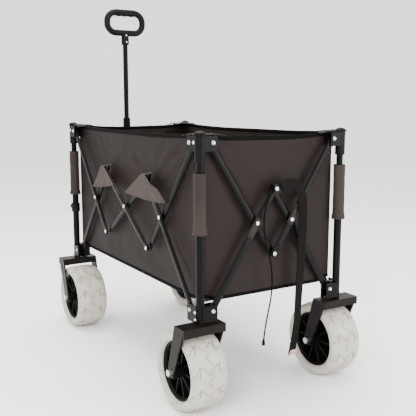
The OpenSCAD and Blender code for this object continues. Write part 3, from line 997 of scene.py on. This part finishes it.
# %% Build the floor pads
def floor_pad(side):
    low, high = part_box(f"floor_{side}")
    length, width = high.x - low.x, high.y - low.y
    rows, columns = 41, 141
    crown = 4.5 * MM
    points = []
    for i in range(rows):
        b = i / (rows - 1)
        for j in range(columns):
            a = j / (columns - 1)
            edge = min(a * length, (1 - a) * length, b * width, (1 - b) * width)
            pillow = abs(math.sin(math.pi * 5 * a)) ** 0.35 * abs(math.sin(math.pi * b)) ** 0.3
            wave = 0.5 * MM * math.sin(37 * a + 5 * b) * math.sin(9 * b + 3 * a)
            top = high.z - crown + 3.9 * MM * pillow + wave * pillow
            top = min(top, high.z) - 1.1 * MM * (1 - smooth_step(edge / (8 * MM)))
            points.append((low.x + a * length, low.y + b * width, top))
    below = len(points)
    points += [(x, y, low.z) for x, y, _ in points]
    faces = grid_faces(rows, columns)
    faces += [tuple(below + i for i in reversed(face)) for face in faces]
    outline = list(range(columns)) + [i * columns + columns - 1 for i in range(1, rows)]
    outline += [(rows - 1) * columns + j for j in range(columns - 2, -1, -1)]
    outline += [i * columns for i in range(rows - 2, 0, -1)]
    faces += [(a, b, below + b, below + a) for a, b in zip(outline, outline[1:] + outline[:1])]
    made = piece(f"floor_pad_{side}", points, faces, LINING)
    put_on(made, f"floor_leaf_{side}")
    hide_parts(f"floor_{side}")
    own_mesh(made)


for side in ("left", "right"):
    floor_pad(side)

# %% [markdown]
# ## Wheels
# The balloon tyres are cast foam with a shallow tread: wavy chevrons across the crown, cut about 1 mm deep.
# The tread is pressed into the mesh itself, and a painted shade makes the bottom of each groove a little
# darker.

# %% Build the tyres
TYRE_SECTION = 32.8 * MM
GROOVE_DEPTH = 1.3 * MM
TREAD_REPEATS = 11
# the lip on each side of the rim, as radius and distance from the middle, in mm
RIM_LIP = [(70.5, 27), (73.5, 31), (75.5, 35.5), (78.2, 38.5), (79.0, 40.5), (78.0, 42.2), (75.6, 41.6),
           (72.8, 38), (70.8, 33)]


def tread(s, w, pitch):
    """Groove depth from 0 to 1 at s around the tyre and w across it, in mm."""
    def line(distance, half):
        return 1 - smooth_step((np.abs(distance) - 0.7) / half)

    def zigzag(x, period):
        return 2 * np.abs(2 * (x / period - np.floor(x / period + 0.5))) - 1

    bend = 13 * zigzag(w + 22, 44) + 3.0 * np.sin(w / 7) + 2.0 * np.sin(s / 9)
    across = s - bend
    chevron = line(across - pitch * np.round(across / pitch), 2.4)
    broken = smooth_step((np.cos(2 * np.pi * s / pitch) + 0.1) / 0.3)
    shoulder = line(np.abs(w) - 31 - 5 * zigzag(s, pitch), 2.2) * broken
    centre = line(w - 7 * zigzag(s + pitch / 4, pitch / 2), 2.1) * (1 - broken)
    return np.clip(np.maximum.reduce([chevron, shoulder, centre]), 0, 1) * smooth_step((58 - np.abs(w)) / 12)


def tyre(corner):
    low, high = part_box(f"tyre_{corner}")
    centre = (low + high) / 2
    r_out, half_w = (high.z - low.z) / 2, (high.y - low.y) / 2
    r_in = r_out - TYRE_SECTION
    mid, half = (r_in + r_out) / 2, (r_out - r_in) / 2
    count, around = 84, 330
    # more of the outline's points lie on the crown, where the tread is
    t = np.concatenate([np.linspace(-1.45, 1.45, 60), np.linspace(1.45, 2 * np.pi - 1.45, count - 58)[1:-1]])
    c, s = np.cos(t), np.sin(t)
    power = 0.74
    radius = mid + half * np.sign(c) * np.abs(c) ** power
    across = half_w * np.sign(s) * np.abs(s) ** power
    step = np.hypot(np.diff(radius, append=radius[0]), np.diff(across, append=across[0]))
    arc = np.cumsum(step) - step
    arc = (arc - arc[30]) / MM
    theta = np.linspace(0, 2 * np.pi, around, endpoint=False)
    ring = 2 * np.pi * r_out / MM
    depth = tread(theta[:, None] * r_out / MM, np.broadcast_to(arc, (around, len(arc))), ring / TREAD_REPEATS)
    depth = depth * (c > 0.12)
    nr, na = c * half_w, s * half
    size = np.hypot(nr, na)
    sink = depth * GROOVE_DEPTH
    rr = radius - sink * nr / size
    aa = across - sink * na / size
    turn = theta[:, None]
    rings = np.stack([centre.x + rr * np.cos(turn), centre.y + aa, centre.z + rr * np.sin(turn)], -1).tolist()
    points, faces = loft([list(map(Vector, ring_points)) for ring_points in rings], ends=False, loop=True)
    made = piece(f"foam_tyre_{corner}", points, faces, FOAM)
    groove = made.data.attributes.new("groove", "FLOAT", "POINT")
    groove.data.foreach_set("value", depth.astype(np.float32).ravel())
    put_on(made, f"wheel_{corner}")
    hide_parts(f"tyre_{corner}")
    for sign, label in ((1, "a"), (-1, "b")):
        rings = lathe([(r * MM, sign * d * MM) for r, d in RIM_LIP], centre, LEFTWARD, 72)
        lip = piece(f"rim_lip_{corner}_{label}", *loft(rings, ends=False, loop=True), RIM_PLASTIC)
        put_on(lip, f"wheel_{corner}")


for corner in CORNERS:
    tyre(corner)

# %% [markdown]
# ## The pull handle
# The grip is a closed loop of moulded plastic. Its top bar swells between the fingers, and a neck with two
# rivets clamps it on the inner tube.

# %% Build the grip
GRIP_LOOP_H = 97 * MM
GRIP_BEND = 33 * MM
GRIP_BAR_R = 13 * MM
NECK_R = 14 * MM


def grip_path(y_half, z_top, z_bottom):
    """The centre line of the loop, clockwise from the top of its left bend."""
    y_bend = y_half - GRIP_BEND
    path = []
    for cy, cz, start in ((y_bend, z_top - GRIP_BEND, 90), (y_bend, z_bottom + GRIP_BEND, 0),
                          (-y_bend, z_bottom + GRIP_BEND, -90), (-y_bend, z_top - GRIP_BEND, -180)):
        turns = [math.radians(start - a) for a in range(0, 91, 9)]
        path += [(cy + GRIP_BEND * math.cos(a), cz + GRIP_BEND * math.sin(a)) for a in turns]
    return path + [(2 * y_bend * k / 24 - y_bend, z_top) for k in range(1, 24)]


def grip():
    low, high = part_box("handle_grip")
    x = (low.x + high.x) / 2
    r = min((high.x - low.x) / 2, GRIP_BAR_R)
    y_half = high.y - r
    z_top, z_bottom = high.z - r, high.z - GRIP_LOOP_H + r
    path = grip_path(y_half, z_top, z_bottom)
    rings = []
    total = len(path)
    for i, (y, z) in enumerate(path):
        before, after = path[i - 1], path[(i + 1) % total]
        ahead = Vector((0, after[0] - before[0], after[1] - before[1])).normalized()
        away = FORWARD.cross(ahead)
        if away.dot(Vector((0, y, z - (z_top + z_bottom) / 2))) < 0:
            away = -away
        on_top = z > z_top - 1 * MM and abs(y) < y_half - GRIP_BEND + 1 * MM
        swell = 1.9 * MM * (0.5 + 0.5 * math.cos(2 * math.pi * y / (24 * MM))) if on_top else 0.0
        slim = 0.0 if on_top else 1.0 * MM
        ring = []
        for k in range(20):
            a = 2 * math.pi * k / 20
            rad = r - slim
            # only the inner half of the ring swells between the fingers
            off = rad * math.cos(a) + (1.6 * MM - swell) * max(-math.cos(a), 0)
            ring.append(Vector((x, y, z)) + away * off + FORWARD * rad * 0.94 * math.sin(a))
        rings.append(ring)
    made = piece("grip_loop", *loft(rings, ends=False, loop=True), GRIP_PLASTIC)
    put_on(made, "handle_top")
    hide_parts("handle_grip")
    wide = NECK_R / MM
    profile = [(9.2, 0), (wide - 0.8, 0), (wide, 0.8), (wide, 22), (13.2, 30), (12.6, 38), (11, 46)]
    neck_rings = lathe([(a * MM, b * MM) for a, b in profile], (x, 0, low.z), UP, 36)
    put_on(piece("grip_neck", *loft(neck_rings), GRIP_PLASTIC), "handle_top")
    for i, (rise, out) in enumerate(((9 * MM, NECK_R), (33 * MM, 13 * MM))):
        rivet_head(f"neck_rivet_{i}", (x - out + 0.3 * MM, 0, low.z + rise), -FORWARD, "handle_top",
                   2.5 * MM, 3.2 * MM)


grip()

# %% [markdown]
# ## Straps at the rear
# A webbing strap and a thin drawstring hang from the top joint of the rear bars. They hold the cart shut
# when it is folded. Both routes are the ones in the CAD source: sideways and up from the tab, in
# millimetres.

# %% Build the strap and the drawstring
STRAP_ROUTE = [[-11, 2], [-24, 9], [-40, 12], [-56, 8], [-70, -3], [-80, -20], [-85, -42], [-86, -65],
               [-86, -95], [-85, -130], [-84, -170], [-83, -210], [-80, -250], [-78, -290], [-76, -330],
               [-74, -370], [-68, -410], [-62, -440], [-58, -465]]
STRING_ROUTE = [[11, -4], [20, -12], [28, -22], [34, -34], [39, -48], [42, -65], [43, -85], [42, -110],
                [36, -140], [27, -170], [19, -200], [15, -230], [14, -260], [17, -290], [23, -320],
                [30, -350], [36, -380], [39, -405], [40, -420]]
tab_low, tab_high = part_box("strap_tab")
TAB_Z = (tab_low.z + tab_high.z) / 2
STRAP_X = tab_low.x - 2.4 * MM
rivet_head("tab_rivet", (tab_low.x + 0.2 * MM, 0, TAB_Z), -FORWARD, "strap_hanger")
STRAP_W, STRAP_T, STRING_R = 27 * MM, 2.4 * MM, 2.5 * MM


def smooth_route(route, step_mm=6.0):
    """Extra points along a route, on a curve through its own points."""
    route = np.array(route, float)
    size = np.concatenate([[0], np.cumsum(np.hypot(*np.diff(route, axis=0).T))])
    out = []
    for s in np.linspace(0, size[-1], int(size[-1] / step_mm) + 1):
        i = min(max(int(np.searchsorted(size, s)) - 1, 0), len(route) - 2)
        t = (s - size[i]) / (size[i + 1] - size[i])
        p0, p1, p2, p3 = route[max(i - 1, 0)], route[i], route[i + 1], route[min(i + 2, len(route) - 1)]
        square, cube = 2 * p0 - 5 * p1 + 4 * p2 - p3, 3 * p1 - p0 - 3 * p2 + p3
        out.append(0.5 * (2 * p1 + (p2 - p0) * t + square * t * t + cube * t ** 3))
    return np.array(out), size[-1] * MM


def hanging_path(route):
    """A route as points behind the rear bars, and its length in metres."""
    smooth, length = smooth_route(route)
    return [Vector((STRAP_X, along * MM, TAB_Z + rise * MM)) for along, rise in smooth], length


def sewn_end(name, end, ahead, stations, power, count, material):
    """The end of a strap. Each station is a distance along ahead, a half width and a half thickness in mm."""
    rings = [[end + ahead * s * MM + LEFTWARD * x + FORWARD * y
              for x, y in superellipse(w * MM, t * MM, power, count)] for s, w, t in stations]
    return piece(name, *loft(rings), material)


def strap():
    path, length = hanging_path(STRAP_ROUTE)
    rings = []
    for i, p in enumerate(path):
        ahead = (path[min(i + 1, len(path) - 1)] - path[max(i - 1, 0)]).normalized()
        side = FORWARD.cross(ahead).normalized()
        down = i / (len(path) - 1)
        twist = 0.16 * math.sin(5.2 * down + 0.4) * smooth_step(down * 3)
        across = side * math.cos(twist) + FORWARD * math.sin(twist)
        through = ahead.cross(across).normalized()
        rings.append([p + across * x + through * y for x, y in superellipse(STRAP_W / 2, STRAP_T / 2, 5, 24)])
    made = piece("webbing_strap", *loft(rings), WEBBING)
    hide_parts("closing_strap")
    half = STRAP_W / 2 * 1.04 / MM
    tip = sewn_end("strap_end", path[-1], (path[-1] - path[-3]).normalized(),
                   ((-11, half, 1.9), (-9, half, 2.2), (2, half, 2.2), (4, half, 1.2)), 5, 20, CREAM_TAPE)
    return made, tip, path, length, STRAP_W


def drawstring():
    path, length = hanging_path(STRING_ROUTE)
    made = piece("cord_drawstring", *loft(tube(path, STRING_R, STRING_R * 0.8, FORWARD, 12)), WEBBING)
    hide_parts("drawstring")
    tip = sewn_end("drawstring_end", path[-1], -UP,
                   ((-16, 2.6, 1.6), (-10, 4.4, 1.6), (0, 4.8, 1.6), (2, 4.2, 1.6)), 4, 16, WEBBING)
    return made, tip, path, length, 2 * STRING_R


for made, tip, path, length, diameter in (strap(), drawstring()):
    for obj in (made, tip):
        put_on(obj, "strap_hanger")
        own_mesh(obj)
